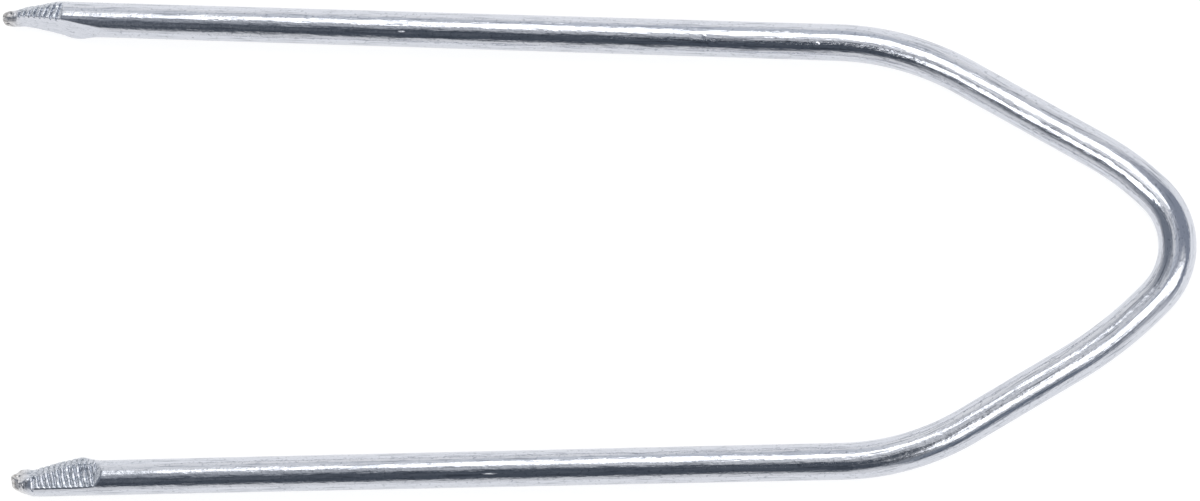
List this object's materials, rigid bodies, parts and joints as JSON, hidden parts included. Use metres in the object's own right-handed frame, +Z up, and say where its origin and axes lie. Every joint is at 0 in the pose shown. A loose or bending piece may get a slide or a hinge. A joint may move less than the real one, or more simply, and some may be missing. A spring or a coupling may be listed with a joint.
{
  "type": "wire release key",
  "caption": "Flat U of springy round steel wire with a pointed rounded bow for the fingers and two pressed, serrated catch tips that reach into release holes.",
  "frame": {"origin": "middle of the outline's box, on the surface that the key lies on", "axes": "+X from the tips to the bow, +Y towards the upper leg, +Z up out of the plane of the wire"},
  "size_m": [0.1242, 0.0514, 0.0036],
  "materials": {
    "zinc_plated_wire": "bright zinc plate with fine draw lines"
  },
  "bodies": {
    "root": {"upper_tip": "zinc_plated_wire", "upper_leg": "zinc_plated_wire", "upper_shoulder": "zinc_plated_wire", "crown": "zinc_plated_wire", "lower_shoulder": "zinc_plated_wire", "lower_leg": "zinc_plated_wire", "lower_tip": "zinc_plated_wire"}
  },
  "joints": []
}
